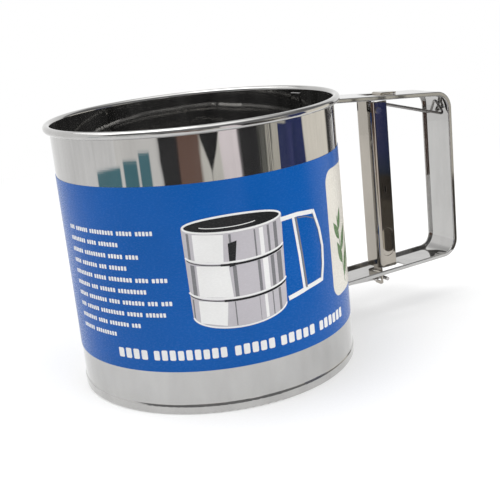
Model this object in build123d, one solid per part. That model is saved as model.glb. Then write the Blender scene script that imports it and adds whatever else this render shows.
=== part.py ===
from build123d import *
import math
import os

# Squeeze-handle flour sifter, five cups, in millimetres.
# +Z is up, the sifter stands on z = 0 with the cup's axis on Z, and the handle points along +X.

# ---- driving dimensions -------------------------------------------------------------------------

# Cup
CUP_R = 65.0                # outer radius of the wall
SHEET = 0.6                 # wall sheet
HEIGHT = 123.0              # top of the rolled rim
RIM_ROLL_R = 1.7            # radius of the rolled rim
BEAD_HEIGHTS = (37.0, 84.0)
BEAD_DEPTH = 1.0            # both beads are pressed inwards
BEAD_HALF = 2.5
HEM_HEIGHT = 4.2            # folded hem that the cup stands on
HEM_IN = 1.3
HEM_PROUD = 0.5
HEM_ROUND = 0.85
HEM_BLEND_R = 1.6           # where the wall runs out into the hem
SEAM_AZ = 11.0              # lap seam, degrees from the handle
SEAM_WIDTH = 6.0
SEAM_LIFT = 6.0             # the seam's lap starts this far above the screen
EYELET_HOLE_R = 2.0         # hole for the rod's eyelet
EYELET_R = 2.6              # its rolled flanges
EYELET_BORE_R = 1.6
EYELET_PROUD = 0.7

# Screen
SCREEN_Z = 11.8             # underside of the woven screen
SCREEN_T = 0.8
SCREEN_R = 64.1
HOOP_IN = 60.5
HOOP_H = 3.0
CLAMP_H = 2.4
HOOP_CHAMFER = 1.0
CLAMP_ROUND = 1.2

# Agitator, stacked upwards from the screen
STAR_Z = 13.6
STAR_T = 0.8
ARM_LIP = 1.6               # height of the folded edges above the web
ARM_W = 7.6
ARM_TIP_R = 56.0
HUB_R = 15.0
ARM_COUNT = 6
SPACER_H = 1.8
CRANK_T = 1.0
CRANK_HUB_R = 9.0
BUSH_R = 2.6
RUNNING_GAP = 0.07
PIVOT_R = 1.5               # shank of the pivot rivet
PIVOT_HEAD_R = 2.6
PIVOT_TAIL_R = 2.3
SLEEVE_R = 3.0              # spacer on the pivot rivet
HUB_SPACER_R = 8.0
SLOT_R = 1.45               # half the width of the slot in the crank's lug
LUG_END_R = 3.9
CRANK_RIVET_AT = 5.2        # distance of the two rivets from the axis
CRANK_RIVET_R = 1.0
CRANK_RIVET_HEAD_R = 1.8

# Link rod and the line that it slides along
ROD_R = 1.0
ROD_Z = 18.6
ROD_OFFSET = 11.5           # distance of the rod's line from the cup's axis
ROD_WALL_Y = 2.0            # where that line crosses the wall
ROD_WALL_X = 64.0
ROD_STROKE = 13.8
ROD_BEND_R = 1.05
ROD_PIN_BELOW = 0.7         # how far the pin reaches below the crank plate
HOOK_BEYOND = 2.2           # from the trigger's web to the hook
HOOK_LENGTH = 5.0
COLLAR_BEFORE = 1.6         # from the flattened ears to the web's face

# Tripod bracket that carries the agitator's pivot
TRIPOD_Z = 25.0
TRIPOD_H = 6.0
TRIPOD_SHEET = 0.8
TRIPOD_AZ = (-44.0, 76.0, 196.0)
RIDGE_BASE_W = 11.6
RIDGE_TAPER = 20.0
FLANGE_W = 14.0
VALLEY_R = 8.0              # rounding between the legs
FLANGE_VALLEY_R = 7.0
SHOULDER_R = 1.8
FOOT_DOWN = 3.0             # the feet reach below and above the ridge by this much
FOOT_UP = 1.5

# Handle
HANDLE_W = 22.0
HANDLE_T = 0.8
HANDLE_X = 142.0            # outer face
HANDLE_CORNER_R = 9.0
HANDLE_HEM = 2.2            # depth of the folded edges, inwards
HANDLE_HEM_W = 1.1
HANDLE_HEM_ROUND = 0.45
TOP_ARM_Z = 117.0           # upper face at the wall
TOP_ARM_DROP = 6.5          # fall from the wall to the outer corner
LOW_ARM_Z = 21.4            # lower face at the wall
LOW_ARM_RISE = 1.8
TAB_HALF = 8.0              # half the width of the tabs on the cup
TOP_TAB_H = 13.0
LOW_TAB_H = 12.0
TOP_SLOT_HALF = 4.4
LOW_SLOT = (92.5, 110.2)    # x limits of the slot that the tongue swings in
SLOT_SIDE_GAP = 0.6

# The handle's rivets, each as y, z and shank radius; the first is the upper one
HANDLE_RIVETS = (
    (0.0, 109.5, 2.0),
    (-5.0, 28.4, 1.3),
    (5.0, 28.4, 1.3),
)

# Trigger
LEVER_X = 94.0              # face of the web, towards the cup
LEVER_T = 0.9
LEVER_W = 13.7
LEVER_DEPTH = 10.0
LEVER_LOW_Z = 24.6
LEVER_TOP_Z = 111.0
LEVER_CORNER_R = 3.0
NECK_W = 7.6
NECK_CUT = 5.0              # the web stops this far under the trigger's top
TAB_LENGTH = 11.0           # of the tab that lies on the top arm
PIVOT_X = 104.2             # swing axis, along Y, at the outer edge of the top slot
PIVOT_Z = 113.3
TONGUE_Y = (-7.0, -0.6)
TONGUE_LOW_Z = 15.9
TONGUE_HOLE = (5.1, 3.0)    # length and width of the rod's hole
DENT = (15.0, 7.2, 0.35)    # length, width and depth of the scoops in the trigger's sides
DENT_AT = (99.4, 38.0)
RECESS = (1.0, 3.2, 0.5)    # length, height and depth of a small recess in the trigger's side at -Y
RECESS_AT = (100.0, 66.0)

# Spring
SPRING_WIRE_R = 0.65
SPRING_PIN = (98.6, 106.6)  # x and z of the pin
SPRING_PIN_R = 1.1
COIL_R = 2.0
COIL_PITCH = 1.15
COIL_TURNS = 3
COIL_Y = 5.0                # middle of the outermost turn
TAIL_LENGTH = 9.0
ARM_CREST = (104.5, 109.0)  # x and z where the arms leave the trigger
BAIL_Z = 98.8               # the bail's two lower corners
BAIL_HALF = 5.4
BAIL_SHIFT = -2.0           # the bail sits to one side
BAIL_PEAK = (138.4, 106.6)  # x and z of its middle, up in the handle's corner

# Paper wrap
WRAP_T = 0.2
WRAP_Z = (19.6, 100.0)
WRAP_AZ = (-232.0, -18.0)

# ---- worked out from them -----------------------------------------------------------------------

CUP_IN = CUP_R - SHEET
WALL_CUT = (CUP_R - 5.0, CUP_R + 3.0)   # x limits of a cutter that goes through the wall only
ARM_SLOPE = TOP_ARM_DROP / (HANDLE_X - CUP_R)
LOW_SLOPE = LOW_ARM_RISE / (HANDLE_X - CUP_R)
ROD_YAW = math.asin(ROD_OFFSET / math.hypot(ROD_WALL_X, ROD_WALL_Y)) - math.atan2(ROD_WALL_Y, ROD_WALL_X)
ROD_OUT = (math.cos(ROD_YAW), -math.sin(ROD_YAW))
CRANK_PIN = (
    ROD_OFFSET * math.sin(ROD_YAW) - ROD_STROKE / 2 * ROD_OUT[0],
    ROD_OFFSET * math.cos(ROD_YAW) - ROD_STROKE / 2 * ROD_OUT[1],
)
CRANK_AZ = math.degrees(math.atan2(CRANK_PIN[1], CRANK_PIN[0]))
CRANK_R = math.hypot(*CRANK_PIN)
CRANK_Z = STAR_Z + STAR_T + SPACER_H
CRANK_TOP = CRANK_Z + CRANK_T
TRIPOD_TOP = TRIPOD_Z + TRIPOD_H


def top_face(x):
    """Height of the top arm's upper face."""
    return TOP_ARM_Z - ARM_SLOPE * (x - CUP_R)


def low_face(x):
    """Height of the lower arm's lower face."""
    return LOW_ARM_Z + LOW_SLOPE * (x - CUP_R)


def rod_y(x):
    """Where the rod's line lies at x."""
    return ROD_WALL_Y - (x - ROD_WALL_X) * math.tan(ROD_YAW)


# ---- helpers ------------------------------------------------------------------------------------

def disc(radius, z0, z1, x=0.0, y=0.0):
    """An upright cylinder between two heights."""
    return Pos(x, y, z0) * extrude(Circle(radius), amount=z1 - z0)


def ring(inner, outer, z0, z1):
    """An upright tube between two heights."""
    return Pos(0, 0, z0) * extrude(Circle(outer) - Circle(inner), amount=z1 - z0)


def block(x0, x1, y0, y1, z0, z1):
    """A box given by its limits."""
    centre = Pos((x0 + x1) / 2, (y0 + y1) / 2, (z0 + z1) / 2)
    return centre * Box(x1 - x0, y1 - y0, z1 - z0)


def bar_x(radius, x0, x1, y, z):
    """A cylinder along X."""
    return Pos((x0 + x1) / 2, y, z) * Rot(0, 90, 0) * Cylinder(radius, x1 - x0)


def bar_y(radius, y0, y1, x, z):
    """A cylinder along Y."""
    return Pos(x, (y0 + y1) / 2, z) * Rot(90, 0, 0) * Cylinder(radius, y1 - y0)


def side_profile(sketch, y0, y1):
    """Stands an outline drawn as (x, z) upright and gives it its width, from y0 to y1."""
    return Pos(0, y1, 0) * extrude(Plane.XZ * sketch, amount=y1 - y0)


def swept_wire(points, bend, radius):
    """Round wire along straight runs joined by bends."""
    path = FilletPolyline(*points, radius=bend)
    return sweep(Plane(origin=path @ 0, z_dir=path % 0) * Circle(radius), path=path)


def dome(radius, height, z):
    """A low domed rivet head that stands on z."""
    ball = (radius * radius + height * height) / (2 * height)
    return (Pos(0, 0, z + height - ball) * Sphere(ball)) & disc(radius, z, z + height)


# ---- cup ----------------------------------------------------------------------------------------

def wall_line(radius, low, high):
    """One face of the wall from low to high, with its beads."""
    line = Curve()
    z = low
    for bead in BEAD_HEIGHTS:
        line += Line((radius, z), (radius, bead - BEAD_HALF))
        line += ThreePointArc(
            (radius, bead - BEAD_HALF), (radius - BEAD_DEPTH, bead), (radius, bead + BEAD_HALF)
        )
        z = bead + BEAD_HALF
    return line + Line((radius, z), (radius, high))


def cup_profile():
    """Section of the cup: a hem at the foot, the beaded wall and the rolled rim."""
    low = 0.5 * HEM_HEIGHT
    high = HEIGHT - RIM_ROLL_R
    wall = make_face(
        wall_line(CUP_R, low, high)
        + wall_line(CUP_IN, low, high)
        + Line((CUP_IN, low), (CUP_R, low))
        + Line((CUP_IN, high), (CUP_R, high))
    )
    roll = Circle(RIM_ROLL_R) - Circle(RIM_ROLL_R - SHEET)
    gap = make_face(Polyline((0, 0), (-6, 0), (-6, -6), (-2.2, -3.4), (0, 0)))
    roll = Pos(CUP_IN + RIM_ROLL_R, high) * (roll - gap)
    width = HEM_IN + HEM_PROUD
    hem = Pos(CUP_R - HEM_IN + width / 2, HEM_HEIGHT / 2) * RectangleRounded(width, HEM_HEIGHT, HEM_ROUND)
    foot = wall + hem
    corner = foot.vertices().sort_by_distance((CUP_R, HEM_HEIGHT, 0))[0]
    return fillet(corner, HEM_BLEND_R) + roll


def cup_shell():
    """The cup's wall, with its lap seam and the holes for the rod and the handle's rivets."""
    shell = Rot(0, 0, 180) * revolve(Plane.XZ * cup_profile(), axis=Axis.Z)
    seam = ring(CUP_IN - SHEET, CUP_IN + 0.1, SCREEN_Z + SEAM_LIFT, HEIGHT - 2 * RIM_ROLL_R)
    seam &= Rot(0, 0, SEAM_AZ) * block(CUP_R - 10, CUP_R, -SEAM_WIDTH / 2, SEAM_WIDTH / 2, 0, HEIGHT)
    shell += seam
    shell -= bar_x(EYELET_HOLE_R, *WALL_CUT, ROD_WALL_Y, ROD_Z)
    for y, z, radius in HANDLE_RIVETS:
        shell -= bar_x(radius, *WALL_CUT, y, z)
    return shell


def rod_eyelet():
    """Rolled eyelet that lines the rod's hole in the wall."""
    low = CUP_IN - EYELET_PROUD - 0.2
    high = CUP_R + EYELET_PROUD
    outer = bar_x(EYELET_R, CUP_IN, high, ROD_WALL_Y, ROD_Z) - disc(CUP_R, 0, HEIGHT)
    inner = bar_x(EYELET_R, low, CUP_IN + 0.3, ROD_WALL_Y, ROD_Z) & disc(CUP_IN, 0, HEIGHT)
    barrel = bar_x(EYELET_HOLE_R, low, high, ROD_WALL_Y, ROD_Z)
    return outer + inner + barrel - bar_x(EYELET_BORE_R, *WALL_CUT, ROD_WALL_Y, ROD_Z)


def paper_wrap():
    """Paper wrap round the side of the cup that faces away from the handle."""
    band = ring(CUP_R, CUP_R + WRAP_T, *WRAP_Z)
    middle = (WRAP_AZ[0] + WRAP_AZ[1]) / 2
    half = (WRAP_AZ[1] - WRAP_AZ[0]) / 2
    open_half = 180.0 - half
    reach = 2 * CUP_R
    corner = reach * math.tan(math.radians(open_half))
    wedge = make_face(Polyline((0, 0), (-reach, -corner), (-reach, corner), (0, 0)))
    return band - Rot(0, 0, middle) * extrude(wedge, amount=HEIGHT)


# ---- screen -------------------------------------------------------------------------------------

def screen_mesh():
    """The woven screen, as a plain disc of the cloth's thickness."""
    return disc(SCREEN_R, SCREEN_Z, SCREEN_Z + SCREEN_T)


def screen_hoop():
    """Hoop under the screen, a tight fit in the cup."""
    hoop = ring(HOOP_IN, CUP_IN, SCREEN_Z - HOOP_H, SCREEN_Z)
    edges = hoop.edges().filter_by(GeomType.CIRCLE).group_by(Axis.Z)[0]
    return chamfer(edges.sort_by(SortBy.LENGTH)[0], HOOP_CHAMFER)


def screen_clamp_ring():
    """Ring pressed in over the screen's edge."""
    clamp = ring(HOOP_IN, CUP_IN, SCREEN_Z + SCREEN_T, SCREEN_Z + SCREEN_T + CLAMP_H)
    edges = clamp.edges().filter_by(GeomType.CIRCLE).group_by(Axis.Z)[-1]
    return fillet(edges.sort_by(SortBy.LENGTH)[0], CLAMP_ROUND)


# ---- tripod and pivot ---------------------------------------------------------------------------

def tripod_outline(width, valley):
    """Three legs seen from above, with the valleys between them rounded."""
    outline = Sketch()
    for azimuth in TRIPOD_AZ:
        outline += Rot(0, 0, azimuth) * Pos(CUP_R / 2, 0) * Rectangle(CUP_R, width)
    corners = outline.vertices().sort_by_distance((0, 0, 0))[:3]
    return fillet(corners, valley)


def tripod_ridge(width, valley, height, edge):
    """The legs' raised ridge, with sloping sides and rounded shoulders."""
    ridge = extrude(tripod_outline(width, valley), amount=height, taper=RIDGE_TAPER)
    return fillet(ridge.faces().sort_by(Axis.Z)[-1].edges(), edge)


def tripod_bracket():
    """Pressed three-legged bracket: a hollow ridge, a narrow flange and a foot on each leg."""
    outer = tripod_ridge(RIDGE_BASE_W, VALLEY_R, TRIPOD_H, SHOULDER_R)
    flange = extrude(tripod_outline(FLANGE_W, FLANGE_VALLEY_R), amount=TRIPOD_SHEET)
    inner = tripod_ridge(
        RIDGE_BASE_W - 2 * TRIPOD_SHEET,
        VALLEY_R + TRIPOD_SHEET,
        TRIPOD_H - TRIPOD_SHEET,
        SHOULDER_R - TRIPOD_SHEET,
    )
    bracket = Pos(0, 0, TRIPOD_Z) * (outer + flange - inner)
    bracket &= disc(CUP_IN - TRIPOD_SHEET, 0, HEIGHT)
    for azimuth in TRIPOD_AZ:
        foot = ring(CUP_IN - TRIPOD_SHEET, CUP_IN, TRIPOD_Z - FOOT_DOWN, TRIPOD_TOP + FOOT_UP)
        sector = block(CUP_R - 15, CUP_R + 5, -FLANGE_W / 2, FLANGE_W / 2, 0, HEIGHT)
        bracket += foot & Rot(0, 0, azimuth) * sector
    return bracket - disc(PIVOT_R, 0, HEIGHT)


def pivot_rivet():
    """Rivet that hangs the agitator under the bracket."""
    low_head = disc(PIVOT_TAIL_R, STAR_Z - 0.6, STAR_Z - 0.1)
    return dome(PIVOT_HEAD_R, 1.1, TRIPOD_TOP) + disc(PIVOT_R, STAR_Z - 0.6, TRIPOD_TOP) + low_head


def pivot_spacer():
    """Sleeve on the rivet that sets the agitator's height."""
    return ring(PIVOT_R, SLEEVE_R, CRANK_TOP + 0.1, TRIPOD_TOP - TRIPOD_SHEET)


# ---- agitator -----------------------------------------------------------------------------------

def star_outline(inset):
    """Hub and arms seen from above, drawn in by inset."""
    outline = Circle(HUB_R - inset)
    for i in range(ARM_COUNT):
        length = ARM_TIP_R - ARM_W / 2
        arm = Pos(length / 2, 0) * Rectangle(length, ARM_W - 2 * inset)
        arm += Pos(length, 0) * Circle(ARM_W / 2 - inset)
        outline += Rot(0, 0, CRANK_AZ + i * 360.0 / ARM_COUNT) * arm
    return outline


def agitator_star():
    """Six channel-shaped arms with rounded tips, pressed in one piece with their dished hub."""
    blank = extrude(star_outline(0.0), amount=STAR_T + ARM_LIP)
    hollow = Pos(0, 0, STAR_T) * extrude(star_outline(STAR_T), amount=STAR_T + ARM_LIP)
    star = Pos(0, 0, STAR_Z) * (blank - hollow)
    star -= disc(BUSH_R, 0, HEIGHT)
    return star - crank_rivet_shanks()


def hub_spacer():
    """Washer that lifts the crank plate above the arms' folded edges."""
    return ring(BUSH_R, HUB_SPACER_R, STAR_Z + STAR_T, CRANK_Z) - crank_rivet_shanks()


def crank_plate():
    """Plate with one lug, and in the lug a short radial slot for the rod's pin."""
    slot_mid = (ROD_OFFSET + CRANK_R) / 2
    slot_length = CRANK_R - ROD_OFFSET + 2 * SLOT_R
    lug = make_hull((Circle(CRANK_HUB_R) + Pos(slot_mid + 1.0, 0) * Circle(LUG_END_R)).edges())
    lug -= Pos(slot_mid, 0) * SlotOverall(slot_length, 2 * SLOT_R)
    plate = Pos(0, 0, CRANK_Z) * Rot(0, 0, CRANK_AZ) * extrude(lug, amount=CRANK_T)
    return plate - disc(BUSH_R, 0, HEIGHT) - crank_rivet_shanks()


def hub_bush():
    """Bush that runs on the pivot rivet."""
    return ring(PIVOT_R + RUNNING_GAP, BUSH_R, STAR_Z, CRANK_TOP)


def crank_rivet_places():
    """The two rivets stand either side of the bush, square to the lug."""
    return [Rot(0, 0, CRANK_AZ + turn) * Pos(CRANK_RIVET_AT, 0, 0) for turn in (90.0, -90.0)]


def crank_rivet_shanks():
    """Room for the two rivets."""
    low, high = [place * disc(CRANK_RIVET_R, STAR_Z, CRANK_TOP) for place in crank_rivet_places()]
    return low + high


def crank_rivets():
    """Two rivets that join star, spacer and crank plate."""
    rivet = disc(CRANK_RIVET_R, STAR_Z, CRANK_TOP) + dome(CRANK_RIVET_HEAD_R, 0.6, CRANK_TOP)
    rivet += Pos(0, 0, STAR_Z) * Rot(180, 0, 0) * dome(CRANK_RIVET_HEAD_R, 0.45, 0)
    return Compound(children=[place * rivet for place in crank_rivet_places()])


# ---- link rod -----------------------------------------------------------------------------------

def link_rod():
    """Wire rod: a pin down through the crank, a straight run, and a hook beyond the trigger."""
    hook_x = LEVER_X + LEVER_T + HOOK_BEYOND
    start = (CRANK_PIN[0], CRANK_PIN[1])
    end = (hook_x, rod_y(hook_x))
    rod = swept_wire(
        [
            (*start, CRANK_Z - ROD_PIN_BELOW),
            (*start, ROD_Z),
            (*end, ROD_Z),
            (end[0], end[1] - HOOK_LENGTH, ROD_Z),
        ],
        ROD_BEND_R,
        ROD_R,
    )
    collar_x = LEVER_X - COLLAR_BEFORE
    place = Pos(collar_x, rod_y(collar_x), ROD_Z) * Rot(0, 0, -math.degrees(ROD_YAW))
    ears = place * (Box(1.6, 4.4, 1.2) & Rot(0, 90, 0) * Cylinder(2.2, 1.6))
    return rod + ears


# ---- handle -------------------------------------------------------------------------------------

def handle_outline(inset):
    """The handle's D, drawn in by inset from its outer face."""
    top = inset * math.hypot(1.0, ARM_SLOPE)
    low = inset * math.hypot(1.0, LOW_SLOPE)
    right = HANDLE_X - inset
    start = CUP_R - 8.0
    corners = [
        (start, top_face(start) - top),
        (right, top_face(right) - top),
        (right, low_face(right) + low),
        (start, low_face(start) + low),
    ]
    face = make_face(Polyline(*corners, corners[0]))
    outer = face.vertices().sort_by(Axis.X)[-2:]
    return fillet(outer, HANDLE_CORNER_R - inset)


def handle_hem(y):
    """One folded edge of the handle, rounded all along."""
    hem = side_profile(handle_outline(0) - handle_outline(HANDLE_HEM), y, y + HANDLE_HEM_W)
    runs = hem.edges().filter_by(lambda e: abs(e.center().Y - y - HANDLE_HEM_W / 2) > 0.1)
    runs = runs.filter_by(lambda e: e.center().X > CUP_R - 7.9)
    return fillet(runs, HANDLE_HEM_ROUND)


def handle_strip():
    """Strip handle bent to a D, with folded edges, two slots for the trigger and a tab at each end."""
    half = HANDLE_W / 2
    middle = half - HANDLE_HEM_W / 2
    strip = side_profile(handle_outline(0) - handle_outline(HANDLE_T), -middle, middle)
    for y in (-half, half - HANDLE_HEM_W):
        strip += handle_hem(y)
    strip -= disc(CUP_R, 0, HEIGHT)
    tabs = ring(CUP_R, CUP_R + HANDLE_T, low_face(CUP_R) + 0.4, TOP_ARM_Z - 0.4)
    tabs &= block(*WALL_CUT, -TAB_HALF, TAB_HALF, 0, HEIGHT)
    tabs -= block(*WALL_CUT, -CUP_R, CUP_R, low_face(CUP_R) + LOW_TAB_H, TOP_ARM_Z - TOP_TAB_H)
    strip += tabs
    strip -= block(LEVER_X + 0.2, PIVOT_X + 0.4, -TOP_SLOT_HALF, TOP_SLOT_HALF, TOP_ARM_Z - 20, TOP_ARM_Z)
    sides = (TONGUE_Y[0] - SLOT_SIDE_GAP, TONGUE_Y[1] + SLOT_SIDE_GAP)
    strip -= block(*LOW_SLOT, *sides, 0, LOW_ARM_Z + 4)
    for y, z, radius in HANDLE_RIVETS:
        strip -= bar_x(radius, *WALL_CUT, y, z)
    return strip


def handle_rivet(y, z, radius, inner_head, outer_head):
    """One rivet through the handle's tab and the wall, with a head each side."""
    outside = CUP_R + HANDLE_T
    shank = bar_x(radius, CUP_IN - 0.6, outside, y, z)
    head = Pos(outside, y, z) * Rot(0, 90, 0) * dome(outer_head, 0.9, -0.25)
    head -= disc(outside, 0, HEIGHT)
    tail = Pos(CUP_IN, y, z) * Rot(0, -90, 0) * dome(inner_head, 0.9, -0.3)
    tail &= disc(CUP_IN, 0, HEIGHT)
    return shank + head + tail


def upper_handle_rivet():
    """The broad-headed rivet just under the rim."""
    y, z, radius = HANDLE_RIVETS[0]
    return handle_rivet(y, z, radius, 4.4, 3.4)


def lower_handle_rivets():
    """The pair at the lower tab."""
    rivets = [handle_rivet(y, z, radius, 2.2, 2.4) for y, z, radius in HANDLE_RIVETS[1:]]
    return Compound(children=rivets)


# ---- trigger ------------------------------------------------------------------------------------

def trigger_tab():
    """Neck of the trigger: outwards under the top arm, up through its slot and flat on top of it."""
    lift = LEVER_T / 2
    web = LEVER_X + lift
    riser = PIVOT_X - 1.0
    under = top_face(web) - HANDLE_T - 0.6 - lift
    over = top_face(riser) + 0.15 + lift
    tip = riser + TAB_LENGTH
    points = [
        (web, 0, LEVER_TOP_Z - NECK_CUT),
        (web, 0, under),
        (riser, 0, under - ARM_SLOPE * (riser - web)),
        (riser, 0, over),
        (tip, 0, over - ARM_SLOPE * (tip - riser)),
    ]
    path = FilletPolyline(*points, radius=0.95)
    section = Plane(origin=path @ 0, x_dir=(0, 1, 0), z_dir=path % 0) * Rectangle(NECK_W, LEVER_T)
    tab = sweep(section, path=path)
    corners = tab.edges().filter_by(lambda e: e.center().X > tip - 1.0 and e.length < 2 * LEVER_T)
    return fillet(corners.filter_by(lambda e: abs(e.center().Y) > NECK_W / 2 - 0.1), NECK_W / 2 - 0.4)


def trigger_dent(side):
    """The shallow scoop in one of the trigger's sides."""
    length, width, depth = DENT
    bend = (width * width / 4 + depth * depth) / (2 * depth)
    half = LEVER_W / 2
    outline = extrude(SlotOverall(length, width, rotation=90), amount=1.0, both=True)
    outline = Pos(DENT_AT[0], side * half, DENT_AT[1]) * Rot(90, 0, 0) * outline
    scoop = Pos(DENT_AT[0], side * (half - depth + bend), DENT_AT[1]) * Cylinder(bend, 2 * length)
    return outline & scoop


def trigger_lever():
    """Channel-shaped trigger, its web towards the cup, with a tab at the top and a tongue below."""
    half = LEVER_W / 2
    out = LEVER_X + LEVER_DEPTH
    body = block(LEVER_X, out, -half, half, LEVER_LOW_Z, LEVER_TOP_Z)
    corner = body.edges().filter_by(Axis.Z).group_by(Axis.X)[0]
    body = fillet(corner, LEVER_CORNER_R)
    inside = block(LEVER_X + LEVER_T, out + 1, -half + LEVER_T, half - LEVER_T, 0, HEIGHT)
    inside = fillet(inside.edges().filter_by(Axis.Z).group_by(Axis.X)[0], LEVER_CORNER_R - LEVER_T)
    lever = body - inside
    ends = lever.edges().filter_by(Axis.Y).group_by(Axis.X)[-1]
    lever = fillet(ends, 0.4)
    for side in (-1, 1):
        edge = side * NECK_W / 2
        relief = sorted((edge, side * (half - LEVER_T)))
        lever -= block(LEVER_X - 1, LEVER_X + LEVER_CORNER_R, *relief, LEVER_TOP_Z - 4.5, LEVER_TOP_Z + 1)
        lever -= trigger_dent(side)
    neck = (-NECK_W / 2, NECK_W / 2)
    lever -= block(LEVER_X - 1, LEVER_X + LEVER_T, *neck, LEVER_TOP_Z - NECK_CUT, LEVER_TOP_Z + 1)
    lever -= Pos(RECESS_AT[0], -half, RECESS_AT[1]) * Box(RECESS[0], 2 * RECESS[2], RECESS[1])
    lever -= bar_y(SPRING_PIN_R, -half - 1, half + 1, *SPRING_PIN)
    tongue = block(LEVER_X, LEVER_X + LEVER_T, *TONGUE_Y, TONGUE_LOW_Z, LEVER_LOW_Z)
    tongue = fillet(tongue.edges().filter_by(Axis.X).group_by(Axis.Z)[0], 1.4)
    root = (LEVER_CORNER_R - half, TONGUE_Y[1])
    tongue += block(LEVER_X, LEVER_X + LEVER_T, *root, LEVER_LOW_Z - 1, LEVER_LOW_Z + 1)
    hole = Pos(LEVER_X, rod_y(LEVER_X) - 1.05, ROD_Z + 0.25) * Rot(0, 90, 0)
    tongue -= hole * extrude(SlotOverall(*TONGUE_HOLE, rotation=90), amount=3, both=True)
    return lever + trigger_tab() + tongue


def spring_pin():
    """Pin across the trigger's sides that carries the spring's coils."""
    half = LEVER_W / 2
    x, z = SPRING_PIN
    pin = bar_y(SPRING_PIN_R, -half - 0.5, half + 0.5, x, z)
    for side in (-1, 1):
        ends = sorted((side * half, side * (half + 0.5)))
        pin += bar_y(1.6, *ends, x, z)
    return pin


def return_spring():
    """Double torsion spring: coils on the pin, tails on the web, and a bail in the handle's corner."""
    x, z = SPRING_PIN
    bail_x = HANDLE_X - HANDLE_T - SPRING_WIRE_R - 0.1
    points = [
        (x, -COIL_Y, z + COIL_R),
        (ARM_CREST[0], -COIL_Y - 0.2, ARM_CREST[1]),
        (bail_x - 1.0, BAIL_SHIFT - BAIL_HALF, BAIL_Z),
        (BAIL_PEAK[0], BAIL_SHIFT, BAIL_PEAK[1]),
        (bail_x - 1.0, BAIL_SHIFT + BAIL_HALF, BAIL_Z),
        (ARM_CREST[0], COIL_Y + 0.2, ARM_CREST[1]),
        (x, COIL_Y, z + COIL_R),
    ]
    spring = swept_wire(points, 1.4, SPRING_WIRE_R)
    for side in (-1, 1):
        for turn in range(COIL_TURNS):
            y = side * (COIL_Y - COIL_PITCH * turn)
            spring += Pos(x, y, z) * Rot(90, 0, 0) * Torus(COIL_R, SPRING_WIRE_R)
        spring += Pos(x - COIL_R, y, z - 4.0) * Cylinder(SPRING_WIRE_R, TAIL_LENGTH)
    return spring


# ---- output -------------------------------------------------------------------------------------

PARTS = {
    "cup_shell": cup_shell,
    "rod_eyelet": rod_eyelet,
    "paper_wrap": paper_wrap,
    "screen_mesh": screen_mesh,
    "screen_hoop": screen_hoop,
    "screen_clamp_ring": screen_clamp_ring,
    "tripod_bracket": tripod_bracket,
    "pivot_rivet": pivot_rivet,
    "pivot_spacer": pivot_spacer,
    "agitator_star": agitator_star,
    "hub_spacer": hub_spacer,
    "crank_plate": crank_plate,
    "hub_bush": hub_bush,
    "crank_rivets": crank_rivets,
    "link_rod": link_rod,
    "handle_strip": handle_strip,
    "upper_handle_rivet": upper_handle_rivet,
    "lower_handle_rivets": lower_handle_rivets,
    "trigger_lever": trigger_lever,
    "spring_pin": spring_pin,
    "return_spring": return_spring,
}

os.makedirs("parts", exist_ok=True)
for name, make in PARTS.items():
    export_step(make(), f"parts/{name}.step")
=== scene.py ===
import math

import bmesh
import bpy
from mathutils import Matrix, Vector


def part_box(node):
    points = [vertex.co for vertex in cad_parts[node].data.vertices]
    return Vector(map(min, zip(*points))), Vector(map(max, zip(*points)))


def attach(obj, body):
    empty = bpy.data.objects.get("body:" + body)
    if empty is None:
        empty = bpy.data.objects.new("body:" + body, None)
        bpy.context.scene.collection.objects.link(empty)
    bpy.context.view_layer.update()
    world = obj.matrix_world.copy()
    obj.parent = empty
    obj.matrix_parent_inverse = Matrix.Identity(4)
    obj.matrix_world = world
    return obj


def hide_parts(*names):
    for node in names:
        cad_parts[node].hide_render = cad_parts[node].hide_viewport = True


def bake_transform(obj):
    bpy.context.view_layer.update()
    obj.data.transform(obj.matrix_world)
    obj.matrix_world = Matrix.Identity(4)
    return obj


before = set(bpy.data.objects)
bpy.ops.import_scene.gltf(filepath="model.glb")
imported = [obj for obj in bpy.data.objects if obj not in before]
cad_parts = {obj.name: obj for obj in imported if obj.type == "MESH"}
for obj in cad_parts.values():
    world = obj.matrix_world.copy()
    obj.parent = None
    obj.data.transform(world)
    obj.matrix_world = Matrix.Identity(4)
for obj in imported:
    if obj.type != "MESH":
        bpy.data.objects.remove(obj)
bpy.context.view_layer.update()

# A squeeze-handle flour sifter. Metres; +Z up, the cup's axis on Z, the handle along +X.

MM = 0.001

# ---- places taken from the frame ----------------------------------------------------------------

WRAP_LOW, WRAP_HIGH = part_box("paper_wrap")
SCREEN_LOW, SCREEN_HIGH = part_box("screen_mesh")
PIN_LOW, PIN_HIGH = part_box("spring_pin")
SPRING_LOW, SPRING_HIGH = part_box("return_spring")

WRAP_R = -WRAP_LOW.y             # outer face of the paper
WRAP_T = 0.2 * MM
WRAP_AZ = (-232.0, -18.0)        # its two ends, in degrees from the handle
WRAP_STEPS = 240
WRAP_CORNER = 1.5                # rounding of its ends: degrees round the cup, millimetres up
DEG = WRAP_R * math.pi / 180     # length of one degree of the wrap


# ---- mesh helpers -------------------------------------------------------------------------------

def to_object(name, bm, material, body="cup", smooth_angle=35.0):
    """Makes an object from a bmesh, shades it smooth below an angle, and lets it ride on a body."""
    bmesh.ops.recalc_face_normals(bm, faces=bm.faces)
    mesh = bpy.data.meshes.new(name)
    bm.to_mesh(mesh)
    bm.free()
    mesh.shade_smooth()
    mesh.set_sharp_from_angle(angle=math.radians(smooth_angle))
    obj = bpy.data.objects.new(name, mesh)
    bpy.context.scene.collection.objects.link(obj)
    obj.data.materials.append(material)
    if body:
        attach(obj, body)
    return obj


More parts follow.
